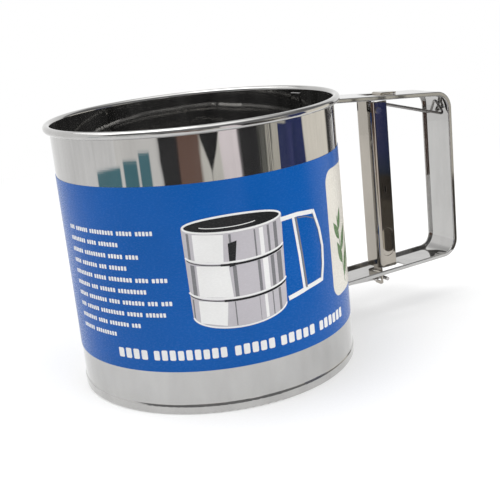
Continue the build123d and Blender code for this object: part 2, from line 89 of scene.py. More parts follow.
def add_tube(bm, points, radius, sides):
    """A closed round tube along a list of points."""
    rings = []
    side = None
    for i, here in enumerate(points):
        before = points[max(i - 1, 0)]
        after = points[min(i + 1, len(points) - 1)]
        along = (after - before).normalized()
        if side is None:
            side = along.orthogonal().normalized()
        side = (side - along * side.dot(along)).normalized()
        up = along.cross(side)
        ring = []
        for k in range(sides):
            turn = 2 * math.pi * k / sides
            ring.append(bm.verts.new(here + radius * (math.cos(turn) * side + math.sin(turn) * up)))
        rings.append(ring)
    for a, b in zip(rings, rings[1:]):
        for k in range(sides):
            n = (k + 1) % sides
            bm.faces.new((a[k], a[n], b[n], b[k]))
    bm.faces.new(rings[0])
    bm.faces.new(reversed(rings[-1]))


# ---- shader helpers -----------------------------------------------------------------------------

class Nodes:
    """Short names for building a node tree."""

    def __init__(self, tree):
        self.tree = tree
        tree.nodes.clear()

    def add(self, kind, values=(), **settings):
        node = self.tree.nodes.new(kind)
        for key, value in settings.items():
            setattr(node, key, value)
        for key, value in dict(values).items():
            if isinstance(value, bpy.types.NodeSocket):
                self.tree.links.new(value, node.inputs[key])
            else:
                node.inputs[key].default_value = value
        return node

    def math(self, operation, a, b=0.0):
        return self.add("ShaderNodeMath", {0: a, 1: b}, operation=operation).outputs[0]

    def noise(self, vector, scale, detail=2.0, rough=0.5):
        values = {"Vector": vector, "Scale": scale, "Detail": detail, "Roughness": rough}
        return self.add("ShaderNodeTexNoise", values).outputs[0]

    def stretch(self, vector, scale):
        """The coordinates scaled along each axis, so that a pattern is drawn out along one."""
        return self.add("ShaderNodeMapping", {"Vector": vector, "Scale": scale}).outputs[0]

    def remap(self, value, low, high, to_low, to_high):
        values = {0: value, 1: low, 2: high, 3: to_low, 4: to_high}
        return self.add("ShaderNodeMapRange", values).outputs[0]

    def ramp(self, value, stops, interpolation="LINEAR"):
        node = self.add("ShaderNodeValToRGB", {0: value})
        node.color_ramp.interpolation = interpolation
        points = node.color_ramp.elements
        for position, colour in stops[2:]:
            points.new(position)
        for point, (position, colour) in zip(points, stops):
            point.position = position
            point.color = (*colour, 1.0)
        return node.outputs[0]

    def mix(self, factor, a, b):
        node = self.add("ShaderNodeMix", data_type="RGBA")
        for index, value in ((0, factor), (6, a), (7, b)):
            if isinstance(value, bpy.types.NodeSocket):
                self.tree.links.new(value, node.inputs[index])
            else:
                node.inputs[index].default_value = value
        return node.outputs[2]

    def bump(self, height, strength, distance, normal=None):
        values = {"Height": height, "Strength": strength, "Distance": distance}
        if normal:
            values["Normal"] = normal
        return self.add("ShaderNodeBump", values).outputs[0]


def new_material(name):
    material = bpy.data.materials.new(name)
    material.use_nodes = True
    return material, Nodes(material.node_tree)


def between(n, value, low, high, soft):
    """One inside a range and nought outside, with soft ends."""
    above = n.remap(value, low - soft, low + soft, 0.0, 1.0)
    below = n.remap(value, high - soft, high + soft, 1.0, 0.0)
    return n.math("MULTIPLY", above, below)


# The small recess in the trigger's side, darkened with painted shade
RECESS_MIDDLE = Vector((100.0, -6.5, 66.0)) * MM
RECESS_HALF = Vector((0.62, 0.3, 1.72)) * MM
RECESS_SOFT = 0.02 * MM
# Near-black colour of the painted shade in the recess
RECESS_SHADE = (0.012, 0.011, 0.010)
RECESS_ROUGH = 0.4


def in_recess(n, place):
    """One in the trigger's recess."""
    part = n.add("ShaderNodeSeparateXYZ", {0: place}).outputs
    low, high = RECESS_MIDDLE - RECESS_HALF, RECESS_MIDDLE + RECESS_HALF
    masks = [between(n, part[axis], low[axis], high[axis], RECESS_SOFT) for axis in range(3)]
    return n.math("MULTIPLY", n.math("MULTIPLY", masks[0], masks[1]), masks[2])


# Patterns on the steel, in features per metre along each axis
SMEARS = (90.0, 90.0, 35.0)
SCRATCHES = (260.0, 1900.0, 2600.0)
STREAKS = (70.0, 70.0, 5.0)

SMEAR_SHADE = 0.86               # of the tint, where the steel is smeared
CLEAN_METAL, DULL_METAL = 0.985, 0.93    # how metallic it is between the dull streaks and on them
GRAIN_ROUGH = 0.35               # of the smears' added roughness
GRAIN_DEPTH = 0.004              # of the waves' depth


def steel(name, tint, gloss, smear, wave_size, wave_depth, grain, edge=0.25 * MM, painted_shade=None):
    """Stainless steel: slow waves in the sheet, fine drawn grain, smears and small scratches.

    gloss is the roughness where it is free of smears, smear what smears add to it, grain the drawn lines
    per metre along each axis, edge the radius that its edges look rounded to, and painted_shade a mask
    for
    painted shade: there the colour turns near black and the metal and the specular shine are taken out.
    """
    material, n = new_material(name)
    place = n.add("ShaderNodeTexCoord").outputs["Object"]
    waves = n.noise(place, 1.0 / wave_size, detail=1.0)
    lines = n.noise(n.stretch(place, grain), 1.0, detail=3.0, rough=0.6)
    smears = n.noise(n.stretch(place, SMEARS), 1.0, detail=4.0)
    scratches = n.noise(n.stretch(place, SCRATCHES), 1.0, detail=2.0)
    rough = n.remap(smears, 0.45, 0.75, gloss, gloss + smear)
    rough = n.math("ADD", rough, n.math("MULTIPLY", n.remap(scratches, 0.62, 0.72, 0.0, 1.0), smear))
    rough = n.math("ADD", rough, n.remap(lines, 0.35, 0.7, 0.0, GRAIN_ROUGH * smear))
    dark = tuple(SMEAR_SHADE * c for c in tint)
    colour = n.mix(n.remap(smears, 0.35, 0.8, 0.0, 1.0), (*tint, 1.0), (*dark, 1.0))
    streaks = n.noise(n.stretch(place, STREAKS), 1.0, detail=2.0)
    metal = n.remap(streaks, 0.35, 0.75, CLEAN_METAL, DULL_METAL)
    sheen = 0.5
    # Painted shade inside the mask: near-black colour, with the metal and the specular shine taken out
    if painted_shade:
        shade_mask = painted_shade(n, place)
        unshaded = n.math("SUBTRACT", 1.0, shade_mask)
        colour = n.mix(shade_mask, colour, (*RECESS_SHADE, 1.0))
        metal = n.math("MULTIPLY", metal, unshaded)
        sheen = n.math("MULTIPLY", sheen, unshaded)
        rough = n.math("ADD", rough, n.math("MULTIPLY", shade_mask, RECESS_ROUGH))
    rounded = n.add("ShaderNodeBevel", {"Radius": edge}, samples=4).outputs[0]
    normal = n.bump(waves, 1.0, wave_depth, rounded)
    normal = n.bump(lines, 1.0, wave_depth * GRAIN_DEPTH, normal)
    shader = n.add("ShaderNodeBsdfPrincipled", {
        "Base Color": colour, "Metallic": metal, "Roughness": rough, "Normal": normal,
        "Specular IOR Level": sheen,
    })
    n.add("ShaderNodeOutputMaterial", {"Surface": shader.outputs[0]})
    return material


CLOUDS = 28.0                    # uneven patches of ink per metre
FIBRES = (900.0, 900.0, 2600.0)  # paper fibres per metre along each axis
CREASES = 16.0                   # per metre
CREASE_DEPTH = 0.8 * MM
FIBRE_DEPTH = 0.012 * MM
CLOUD_SHARE, FIBRE_SHARE = 0.75, 0.25    # of each in the ink's unevenness
FLECK_LIFT = 0.06                # lifts a dark ink's pale flecks
PAPER_SHEEN = 0.17


def printed_paper(name, ink, fleck=0.05):
    """Coated label paper under one ink: uneven ink, fibres, a soft gloss and slight creases."""
    material, n = new_material(name)
    place = n.add("ShaderNodeTexCoord").outputs["Object"]
    cloud = n.noise(place, CLOUDS, detail=3.0)
    fibre = n.noise(n.stretch(place, FIBRES), 1.0, detail=3.0, rough=0.7)
    pale = tuple(min(1.0, c * (1.0 + fleck) + FLECK_LIFT * fleck) for c in ink)
    deep = tuple(c * (1.0 - fleck) for c in ink)
    shade = n.math("ADD", n.math("MULTIPLY", cloud, CLOUD_SHARE), n.math("MULTIPLY", fibre, FIBRE_SHARE))
    colour = n.mix(n.remap(shade, 0.35, 0.65, 0.0, 1.0), (*deep, 1.0), (*pale, 1.0))
    rough = n.remap(fibre, 0.3, 0.7, 0.20, 0.32)
    creases = n.noise(place, CREASES, detail=2.0)
    normal = n.bump(creases, 1.0, CREASE_DEPTH)
    normal = n.bump(fibre, 0.35, FIBRE_DEPTH, normal)
    shader = n.add("ShaderNodeBsdfPrincipled", {
        "Base Color": colour, "Roughness": rough, "Normal": normal, "Specular IOR Level": PAPER_SHEEN,
    })
    n.add("ShaderNodeOutputMaterial", {"Surface": shader.outputs[0]})
    return material


# ---- materials ----------------------------------------------------------------------------------

# Drawn lines per metre along each axis: round the cup, up and down, and even in all directions
RING = (2.0, 2.0, 4200.0)
UPRIGHT = (3500.0, 3500.0, 12.0)
EVEN = (700.0, 700.0, 700.0)

POLISHED = steel(
    "polished_steel_finish", tint=(0.505, 0.50, 0.49), gloss=0.008, smear=0.02,
    wave_size=60 * MM, wave_depth=0.22 * MM, grain=RING,
)
STRIP = steel(
    "strip_steel_finish", tint=(0.505, 0.50, 0.49), gloss=0.015, smear=0.035,
    wave_size=26 * MM, wave_depth=0.08 * MM, grain=UPRIGHT, edge=0.2 * MM,
)
# The trigger's steel, with painted shade in the recess in its side
LEVER = steel(
    "trigger_steel_finish", tint=(0.42, 0.39, 0.345), gloss=0.012, smear=0.035,
    wave_size=26 * MM, wave_depth=0.10 * MM, grain=UPRIGHT, edge=0.2 * MM, painted_shade=in_recess,
)
PRESSED = steel(
    "pressed_steel_finish", tint=(0.49, 0.475, 0.45), gloss=0.03, smear=0.05,
    wave_size=16 * MM, wave_depth=0.10 * MM, grain=EVEN, edge=0.35 * MM,
)
WIRE = steel(
    "wire_steel_finish", tint=(0.50, 0.49, 0.48), gloss=0.08, smear=0.05,
    wave_size=30 * MM, wave_depth=0.02 * MM, grain=EVEN, edge=0.1 * MM,
)
WOVEN = steel(
    "woven_wire_finish", tint=(0.47, 0.46, 0.445), gloss=0.18, smear=0.06,
    wave_size=40 * MM, wave_depth=0.01 * MM, grain=EVEN, edge=0.05 * MM,
)
SPRING = steel(
    "spring_steel_finish", tint=(0.30, 0.29, 0.28), gloss=0.14, smear=0.05,
    wave_size=30 * MM, wave_depth=0.02 * MM, grain=EVEN, edge=0.1 * MM,
)

INKS = {
    "blue": (0.0, 0.093, 0.385),
    "white": (0.80, 0.80, 0.79),
    "silver": (0.50, 0.48, 0.51),
    "shade": (0.20, 0.20, 0.21),
    "dark": (0.018, 0.019, 0.020),
    "cream": (0.72, 0.69, 0.62),
    "leaf": (0.075, 0.17, 0.045),
}
PAPER = {ink: printed_paper(f"paper_{ink}_finish", colour) for ink, colour in INKS.items()}

NODE_FINISH = {
    "cup_shell": POLISHED,
    "rod_eyelet": PRESSED,
    "screen_hoop": POLISHED,
    "screen_clamp_ring": POLISHED,
    "tripod_bracket": PRESSED,
    "pivot_rivet": PRESSED,
    "pivot_spacer": PRESSED,
    "agitator_star": PRESSED,
    "hub_spacer": PRESSED,
    "crank_plate": PRESSED,
    "hub_bush": PRESSED,
    "crank_rivets": PRESSED,
    "link_rod": WIRE,
    "handle_strip": STRIP,
    "upper_handle_rivet": PRESSED,
    "lower_handle_rivets": PRESSED,
    "trigger_lever": LEVER,
    "spring_pin": WIRE,
}
for node, finish in NODE_FINISH.items():
    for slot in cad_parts[node].material_slots:
        slot.material = finish


# ---- paper wrap and its print -------------------------------------------------------------------

def on_wrap(bm, around, height, out):
    """A vertex on the wrap: degrees round the cup, height in metres, and distance proud of the paper."""
    angle = math.radians(around)
    radius = WRAP_R + out
    return bm.verts.new((radius * math.cos(angle), radius * math.sin(angle), height))


def wrap_paper():
    """The blue sheet itself, a thin closed shell with its two ends a little rounded off."""
    bm = bmesh.new()
    inner, outer = [], []
    for i in range(WRAP_STEPS + 1):
        around = WRAP_AZ[0] + (WRAP_AZ[1] - WRAP_AZ[0]) * i / WRAP_STEPS
        into = max(0.0, WRAP_CORNER - min(around - WRAP_AZ[0], WRAP_AZ[1] - around))
        cut = WRAP_CORNER - math.sqrt(max(0.0, WRAP_CORNER ** 2 - into ** 2))
        low = WRAP_LOW.z + cut * MM
        high = WRAP_HIGH.z - cut * MM
        outer.append([on_wrap(bm, around, z, 0.0) for z in (low, high)])
        inner.append([on_wrap(bm, around, z, -WRAP_T) for z in (low, high)])
    for i in range(WRAP_STEPS):
        bm.faces.new((outer[i][0], outer[i + 1][0], outer[i + 1][1], outer[i][1]))
        bm.faces.new((inner[i][0], inner[i][1], inner[i + 1][1], inner[i + 1][0]))
        for edge in (0, 1):
            bm.faces.new((outer[i][edge], inner[i][edge], inner[i + 1][edge], outer[i + 1][edge]))
    for i in (0, WRAP_STEPS):
        bm.faces.new((outer[i][0], outer[i][1], inner[i][1], inner[i][0]))
    wrap = to_object("wrap_sheet", bm, PAPER["blue"])
    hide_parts("paper_wrap")


class Print:
    """One ink's shapes, drawn flat in millimetres from a centre and then laid round the wrap."""

    step = 1.1                   # widest piece round the cup, so that the shapes stay round
    sliver = 0.004               # edges shorter than this, left by the cuts, are taken out
    ink_height = 0.02 * MM

    def __init__(self, ink, level, centre):
        self.ink, self.level, self.centre = ink, level, centre
        self.bm = bmesh.new()

    def shape(self, points):
        """A filled outline."""
        self.bm.faces.new([self.bm.verts.new((x, 0.0, z)) for x, z in points])

    def line(self, points, width, closed=False):
        """A line of even width with square ends."""
        count = len(points)
        sides = []
        for i, (x, z) in enumerate(points):
            before = points[(i - 1) % count] if closed or i else points[i]
            after = points[(i + 1) % count] if closed or i < count - 1 else points[i]
            along = Vector((after[0] - before[0], after[1] - before[1])).normalized()
            across = Vector((-along.y, along.x)) * width / 2
            sides.append([self.bm.verts.new((x + s * across.x, 0.0, z + s * across.y)) for s in (-1, 1)])
        pairs = list(zip(sides, sides[1:]))
        if closed:
            pairs.append((sides[-1], sides[0]))
        for a, b in pairs:
            self.bm.faces.new((a[0], a[1], b[1], b[0]))

    def finish(self, name):
        """Cuts the shapes into narrow strips, gives them a thickness and lays them round the cup."""
        bm = self.bm
        reach = [v.co.x for v in bm.verts]
        x = min(reach) + self.step
        while x < max(reach):
            everything = bm.verts[:] + bm.edges[:] + bm.faces[:]
            bmesh.ops.bisect_plane(bm, geom=everything, plane_co=(x, 0, 0), plane_no=(1, 0, 0))
            x += self.step
        bmesh.ops.dissolve_degenerate(bm, dist=self.sliver, edges=bm.edges[:])
        bmesh.ops.triangulate(bm, faces=bm.faces[:])
        top = bmesh.ops.extrude_face_region(bm, geom=bm.faces[:])["geom"]
        for item in top:
            if isinstance(item, bmesh.types.BMVert):
                item.co.y = self.ink_height
        for v in bm.verts:
            angle = math.radians(self.centre + v.co.x * MM / DEG)
            radius = WRAP_R + self.level * self.ink_height + v.co.y
            v.co = (radius * math.cos(angle), radius * math.sin(angle), v.co.z * MM)
        decal = to_object(name, bm, PAPER[self.ink])


def arc(cx, cz, rx, rz, start, end, steps=24):
    """Points along part of an ellipse, in degrees."""
    turns = [math.radians(start + (end - start) * i / steps) for i in range(steps + 1)]
    return [(cx + rx * math.cos(t), cz + rz * math.sin(t)) for t in turns]


def rounded_panel(x0, x1, z0, z1, r):
    """A rectangle with round corners."""
    return (
        arc(x1 - r, z0 + r, r, r, -90, 0, 8)
        + arc(x1 - r, z1 - r, r, r, 0, 90, 8)
        + arc(x0 + r, z1 - r, r, r, 90, 180, 8)
        + arc(x0 + r, z0 + r, r, r, 180, 270, 8)
    )


# The printed sifter, in millimetres from its own centre line
PICTURE_AZ = -104.4
CUP_HALF = 21.6
MOUTH_Z, MOUTH_DEPTH = 81.9, 3.9
FOOT_Z, FOOT_DEPTH = 43.6, 6.6
BANDS = ((69.0, 4.4), (54.2, 5.0))

# Reflections on its wall: left and right ends of each stripe, and how the tiers shift and slant them
LIGHT_STRIPES = ((-17.4, -4.8), (10.6, 12.4))
SHADE_STRIPES = ((-19.8, -18.8), (-2.6, -1.6), (8.2, 8.9), (14.2, 15.2), (17.2, 18.8))
TIERS = ((0.0, -0.9), (1.0, 0.8), (-0.8, -1.3))
WIDE = 2.0                       # only a stripe wider than this is slanted
LEFT_SHIFT = 0.4                 # of the shift, at a stripe's left end
STRIPE_ABOVE, STRIPE_BELOW = 1.2, 0.6    # how far a stripe stays clear of the ring under it and over it


def edge_below(x, ring):
    """Height of the near side of a ring round the pictured cup."""
    z, depth = ring
    return z - depth * math.sqrt(1 - (x / CUP_HALF) ** 2)


def picture_body():
    """The cup's wall in light grey, with the reflections that run down each of its three tiers."""
    wall = Print("silver", 1, PICTURE_AZ)
    wall.shape(
        arc(0, FOOT_Z, CUP_HALF - 1.0, FOOT_DEPTH, 180, 360, 30)
        + arc(0, MOUTH_Z, CUP_HALF, MOUTH_DEPTH, 0, 180, 30)
    )
    wall.finish("print_cup")
    light = Print("white", 2, PICTURE_AZ)
    shade = Print("shade", 2, PICTURE_AZ)
    rings = ((MOUTH_Z, MOUTH_DEPTH), *BANDS, (FOOT_Z, FOOT_DEPTH))
    for upper, lower, (shift, slant) in zip(rings, rings[1:], TIERS):
        for ink, stripes in ((light, LIGHT_STRIPES), (shade, SHADE_STRIPES)):
            for left, right in stripes:
                left_x, right_top = left + LEFT_SHIFT * shift, right + shift
                right_low = right_top + (slant if right - left > WIDE else 0.0)
                ink.shape([
                    (left_x, edge_below(left_x, lower) + STRIPE_ABOVE),
                    (right_low, edge_below(right_low, lower) + STRIPE_ABOVE),
                    (right_top, edge_below(right_top, upper) - STRIPE_BELOW),
                    (left_x, edge_below(left_x, upper) - STRIPE_BELOW),
                ])
    light.finish("print_cup_light")
    shade.finish("print_cup_shade")


def picture_lines():
    """The mouth, the bands, the hem and a small dark reflection."""
    mouth = Print("dark", 3, PICTURE_AZ)
    mouth.shape(arc(0, MOUTH_Z, CUP_HALF - 1.2, MOUTH_DEPTH - 0.9, 0, 350, 40))
    for z, sag in BANDS:
        mouth.line(arc(0, z, CUP_HALF - 0.8, sag, 250, 352, 24), 0.9)
        mouth.line(arc(0, z, CUP_HALF - 0.8, sag, 186, 250, 14), 0.35)
    mouth.shape([(-3.4, 63.6), (-1.0, 63.9), (0.6, 74.4), (-3.2, 73.6)])
    mouth.finish("print_mouth")
    bright = Print("white", 4, PICTURE_AZ)
    bright.line(arc(0, MOUTH_Z, CUP_HALF - 0.6, MOUTH_DEPTH - 0.4, 0, 352, 44), 0.8, closed=True)
    for z, sag in BANDS:
        bright.line(arc(0, z + 1.0, CUP_HALF - 0.5, sag, 184, 356, 30), 0.8)
    bright.line(arc(0, FOOT_Z + 0.4, CUP_HALF - 1.2, FOOT_DEPTH, 184, 356, 30), 0.7)
    bright.line(arc(-2.0, MOUTH_Z + 0.2, 13.0, 1.6, 200, 330, 14), 0.3)
    bright.finish("print_rim")


def picture_handle():
    """The handle's frame and the trigger inside it."""
    strip = Print("white", 3, PICTURE_AZ)
    strip.line([(21.0, 79.3), (30.0, 79.6), (39.6, 78.6)], 1.9)
    strip.line([(39.8, 79.2), (43.2, 70.0), (44.6, 62.0), (44.0, 54.0), (42.2, 46.8)], 1.5)
    strip.line([(42.6, 47.6), (33.0, 46.6), (21.6, 44.6)], 2.0)
    strip.line([(27.6, 78.8), (29.4, 62.0), (30.6, 46.8)], 1.4)
    strip.finish("print_handle")
    edge = Print("shade", 4, PICTURE_AZ)
    edge.line([(29.0, 78.6), (30.8, 62.0), (32.0, 46.8)], 1.0)
    edge.line([(30.2, 78.0), (35.0, 77.4), (39.6, 75.6)], 0.4)
    edge.line([(39.0, 78.2), (42.2, 70.0), (43.6, 62.0), (43.0, 54.0), (41.4, 48.0)], 0.3)
    edge.finish("print_trigger")


# Blocks that stand for letters, in millimetres from the middle of the lines or of the title
BLOCK_WIDE = 0.72                # of the pitch
BLOCK_EASE = 0.09                # of the height, cut off each corner
BLOCK_SHORT = 0.94               # of the height, for every third block
LINES_AZ = -150.0
LINE_ENDS = (18.6, 3.8, 10.8, 7.4, 22.6, 13.0, 23.4, 20.0, 10.0, -4.2)
LINE_LEFT = -32.0
LINE_TOP, LINE_PITCH, LINE_HEIGHT = 79.6, 5.05, 1.9
LETTER = 1.62
WORD_GAP = 1.3
SHORTEST_WORD = 3.0
TITLE_LOW, TITLE_HEIGHT = 24.9, 4.6
TITLE_WORDS = (                  # left end, right end and number of blocks
    (-58.6, -42.2, 4), (-40.2, -7.4, 9), (-5.0, 13.8, 5), (15.8, 35.4, 5), (37.8, 58.4, 6),
)


def block_row(ink, left, right, low, height, count):
    """A word of small plain blocks, which stands where the label has print."""
    pitch = (right - left) / count
    for k in range(count):
        x0 = left + k * pitch
        x1 = x0 + pitch * BLOCK_WIDE
        ease = BLOCK_EASE * height
        top = low + height * (1.0 if k % 3 else BLOCK_SHORT)
        ink.shape([
            (x0 + ease, low), (x1 - ease, low), (x1, low + ease), (x1, top - ease),
            (x1 - ease, top), (x0 + ease, top), (x0, top - ease), (x0, low + ease),
        ])


def print_rows():
    """Rows of plain blocks where the label has its small print and its title."""
    words = Print("white", 1, LINES_AZ)
    for row, right in enumerate(LINE_ENDS):
        low = LINE_TOP - LINE_PITCH * row
        left = LINE_LEFT
        word = 0
        while left < right - SHORTEST_WORD:
            letters = 3 + (5 * row + 3 * word) % 7
            end = min(left + LETTER * letters, right)
            block_row(words, left, end, low, LINE_HEIGHT, max(1, round((end - left) / LETTER)))
            left = end + WORD_GAP
            word += 1
    words.finish("print_lines")
    title = Print("white", 1, PICTURE_AZ)
    for left, right, letters in TITLE_WORDS:
        block_row(title, left, right, TITLE_LOW, TITLE_HEIGHT, letters)
    title.finish("print_title")


PANEL_AZ = -40.0
PANEL = (-21.6, 20.0, 35.0, 93.0, 6.0)   # left, right, foot, top and the radius of its corners
STEM = ((-6.0, 38.5), (-8.4, 50.0), (-11.2, 62.0), (-12.2, 71.0))
STEM_WIDTH = 0.7
LEAVES = (                       # foot's place, lean in degrees and length of each leaf
    (-6.4, 41.0, 62, 15.0), (-8.0, 48.0, 118, 13.0), (-9.4, 54.0, 50, 14.0),
    (-10.6, 60.0, 125, 11.0), (-11.4, 64.0, 66, 11.0), (4.0, 44.0, 95, 16.0),
)
LEAF_STEPS = 8                   # points along each side
LEAF_WIDE = 0.19                 # half its width, of its length
LEAF_BULGE = 0.8                 # under one moves the widest place towards the foot


def side_panel():
    """The pale panel at the label's right end, with a sprig of leaves."""
    panel = Print("cream", 1, PANEL_AZ)
    panel.shape(rounded_panel(*PANEL))
    panel.finish("print_panel")
    stem = Print("leaf", 2, PANEL_AZ)
    stem.line(STEM, STEM_WIDTH)
    for base_x, base_z, lean, length in LEAVES:
        along = Vector((math.cos(math.radians(lean)), math.sin(math.radians(lean))))
        across = Vector((-along.y, along.x))
        outline = []
        for side, order in ((1, range(LEAF_STEPS + 1)), (-1, range(LEAF_STEPS - 1, 0, -1))):
            for k in order:
                t = k / LEAF_STEPS
                half = LEAF_WIDE * length * math.sin(math.pi * t ** LEAF_BULGE)
                p = Vector((base_x, base_z)) + along * length * t + across * half * side
                outline.append((p.x, p.y))
        stem.shape(outline)
    stem.finish("print_leaves")


wrap_paper()
picture_body()
picture_lines()
picture_handle()
print_rows()
side_panel()


# ---- woven screen -------------------------------------------------------------------------------

MESH_PITCH = 1.6 * MM
MESH_WIRE_R = 0.19 * MM
MESH_WIRE_SIDES = 5


def woven_screen():
    """Plain weave: each wire goes over one crossing and under the next."""
    bm = bmesh.new()
    radius = SCREEN_HIGH.x
    middle = (SCREEN_LOW.z + SCREEN_HIGH.z) / 2
    count = int(radius / MESH_PITCH)
    for lie in (0, 1):
        for i in range(-count, count + 1):
            across = i * MESH_PITCH
            half = int(math.sqrt(radius ** 2 - across ** 2) / MESH_PITCH)
            points = []
            for j in range(-half, half + 1):
                over = 1 if (i + j + lie) % 2 else -1
                spot = (j * MESH_PITCH, across) if lie == 0 else (across, j * MESH_PITCH)
                points.append(Vector((*spot, middle + over * MESH_WIRE_R)))
            if len(points) > 1:
                add_tube(bm, points, MESH_WIRE_R, MESH_WIRE_SIDES)
    screen = to_object("woven_screen", bm, WOVEN, smooth_angle=80.0)
    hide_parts("screen_mesh")


woven_screen()


# ---- return spring ------------------------------------------------------------------------------

SPRING_WIRE_R = 0.65 * MM
SPRING_WIRE_SIDES = 12
COIL_R = 2.0 * MM
COIL_TURNS = 3
COIL_IN = 2.4 * MM               # where the innermost turn starts, either side of the middle
COIL_PITCH = 1.0 * MM
TURN_STEPS = 24
CREST = Vector((104.5, 5.1, 109.0)) * MM      # where each arm leaves the trigger
BAIL_SHIFT = -2.0 * MM
BAIL_HALF = 5.4 * MM
BAIL_LOW_Z = 98.8 * MM
BAIL_PEAK = Vector((138.4, -2.0, 106.6)) * MM
BAIL_BEND_R = 1.4 * MM
TAIL_JOINT = 0.6                 # share of the way up each tail where it has a point of its own
BAIL_PLAY = 0.2 * MM             # from the wire's middle line at the far end to the node's box


def rounded(points, radius, steps=7):
    """The points of a wire with each corner bent to a radius."""
    path = [points[0]]
    for before, corner, after in zip(points, points[1:], points[2:]):
        into, out = (corner - before).normalized(), (after - corner).normalized()
        turn = into.angle(out)
        reach = radius * math.tan(turn / 2)
        start, end = corner - into * reach, corner + out * reach
        middle = corner + (out - into).normalized() * radius / math.cos(turn / 2)
        for k in range(steps + 1):
            share = k / steps
            a = start - middle
            b = end - middle
            swing = (math.sin((1 - share) * turn) * a + math.sin(share * turn) * b) / math.sin(turn)
            path.append(middle + swing)
    path.append(points[-1])
    return path


def spring_coil(pin, side):
    """Tail on the trigger's web, then the turns round the pin, ending on top of it."""
    foot = Vector((pin.x - COIL_R, side * COIL_IN, SPRING_LOW.z))
    turns = [foot, foot.lerp(Vector((foot.x, foot.y, pin.z - MM)), TAIL_JOINT)]
    steps = TURN_STEPS * COIL_TURNS + TURN_STEPS // 4
    for i in range(steps + 1):
        turn = 2 * math.pi * i / TURN_STEPS
        y = side * (COIL_IN + COIL_PITCH * i / TURN_STEPS)
        turns.append(Vector((pin.x - COIL_R * math.cos(turn), y, pin.z + COIL_R * math.sin(turn))))
    return turns


def return_spring():
    """Double torsion spring whose bail rests in the handle's corner."""
    pin = Vector(((PIN_LOW.x + PIN_HIGH.x) / 2, 0.0, (PIN_LOW.z + PIN_HIGH.z) / 2))
    corner_x = SPRING_HIGH.x - BAIL_PLAY
    near, far = [spring_coil(pin, side) for side in (-1, 1)]
    bail = rounded([
        near[-1],
        Vector((CREST.x, -CREST.y, CREST.z)),
        Vector((corner_x, BAIL_SHIFT - BAIL_HALF, BAIL_LOW_Z)),
        BAIL_PEAK,
        Vector((corner_x, BAIL_SHIFT + BAIL_HALF, BAIL_LOW_Z)),
        CREST,
        far[-1],
    ], BAIL_BEND_R)
    bm = bmesh.new()
    add_tube(bm, near[:-1] + bail + far[-2::-1], SPRING_WIRE_R, SPRING_WIRE_SIDES)
    spring = to_object("return_spring_wire", bm, SPRING, body=None, smooth_angle=60.0)
    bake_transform(spring)
    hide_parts("return_spring")


return_spring()


# ---- floor, room and light ----------------------------------------------------------------------

SHEET_R = 0.53                   # the white sheet that the steel mirrors ends here
SHEET_EDGE_WAY = (0.528, -0.849)     # and at a straight edge towards the front, this way
SHEET_EDGE_AT = 0.17             # and this far from the cup's axis
SHEET_HALF = 6.0
SHEET_GRAIN = 900.0              # per metre
SHEET_TONES = ((0.90, 0.90, 0.90, 1), (0.93, 0.93, 0.93, 1))
SHEET_FADE = (0.25, 0.6)         # distances between which it fades into the white background
SHEET_GLOW = 0.25                # share of plain white even beside the object
SHEET_GLOW_MIRRORED = 0.65       # the same, as the steel mirrors it


def floor():
    """A pale sheet that fades into the white background."""
    material, n = new_material("pale_floor")
    place = n.add("ShaderNodeTexCoord").outputs["Object"]
    flat = n.add("ShaderNodeVectorMath", {0: place, 1: (1, 1, 0)}, operation="MULTIPLY").outputs[0]
    distance = n.add("ShaderNodeVectorMath", {0: flat}, operation="LENGTH").outputs["Value"]
    grain = n.noise(place, SHEET_GRAIN, detail=2.0)
    tone = n.mix(n.remap(grain, 0.3, 0.7, 0, 1), *SHEET_TONES)
    near = n.add("ShaderNodeBsdfDiffuse", {"Color": tone})
    far = n.add("ShaderNodeEmission", {"Color": (1, 1, 1, 1), "Strength": 1.0})
    glossy = n.add("ShaderNodeLightPath").outputs["Is Glossy Ray"]
    fade = n.remap(distance, *SHEET_FADE, SHEET_GLOW, 1.0)
    fade = n.math("MAXIMUM", fade, n.math("MULTIPLY", glossy, SHEET_GLOW_MIRRORED))
    sheet = n.add("ShaderNodeMixShader", {0: fade, 1: near.outputs[0], 2: far.outputs[0]})
    part = n.add("ShaderNodeSeparateXYZ", {0: place}).outputs
    along_x, along_y = [n.math("MULTIPLY", part[axis], SHEET_EDGE_WAY[axis]) for axis in (0, 1)]
    past_edge = n.math("GREATER_THAN", n.math("ADD", along_x, along_y), SHEET_EDGE_AT)
    outside = n.math("MAXIMUM", n.math("GREATER_THAN", distance, SHEET_R), past_edge)
    beyond = n.math("MULTIPLY", glossy, outside)
    clear = n.add("ShaderNodeBsdfTransparent")
    shown = n.add("ShaderNodeMixShader", {0: beyond, 1: sheet.outputs[0], 2: clear.outputs[0]})
    n.add("ShaderNodeOutputMaterial", {"Surface": shown.outputs[0]})
    bm = bmesh.new()
    bmesh.ops.create_grid(bm, x_segments=8, y_segments=8, size=SHEET_HALF)
    plane = to_object("floor", bm, material, body=None)


# What the steel mirrors near the horizon: degrees from the handle, and the colour from there on
ROOM = (
    (-180, (0.95, 0.94, 0.92)),
    (-143, (0.020, 0.020, 0.022)),
    (-129, (0.21, 0.12, 0.092)),
    (-111, (0.86, 0.84, 0.78)),
    (-96, (1.15, 1.05, 1.08)),
    (-82, (0.020, 0.020, 0.022)),
    (-65, (0.16, 0.16, 0.14)),
    (-58, (0.66, 0.63, 0.55)),
    (-38, (0.022, 0.036, 0.15)),
    (-20, (1.10, 1.04, 0.92)),
    (14, (0.05, 0.048, 0.045)),
    (24, (1.0, 1.0, 1.0)),
)
BAND_SOFT = 0.002                # of a full turn, to each side of a band's edge
BAND_LEAN = 18.0                 # degrees that the edges lean over, from level to straight up
BAND_TURN = 3.0                  # degrees that they are all turned
WAVER = (5.0, 5.0, 11.0)         # how fast the edges wander, per unit of direction
EDGE_WAVER = 1.1                 # degrees by which they wander

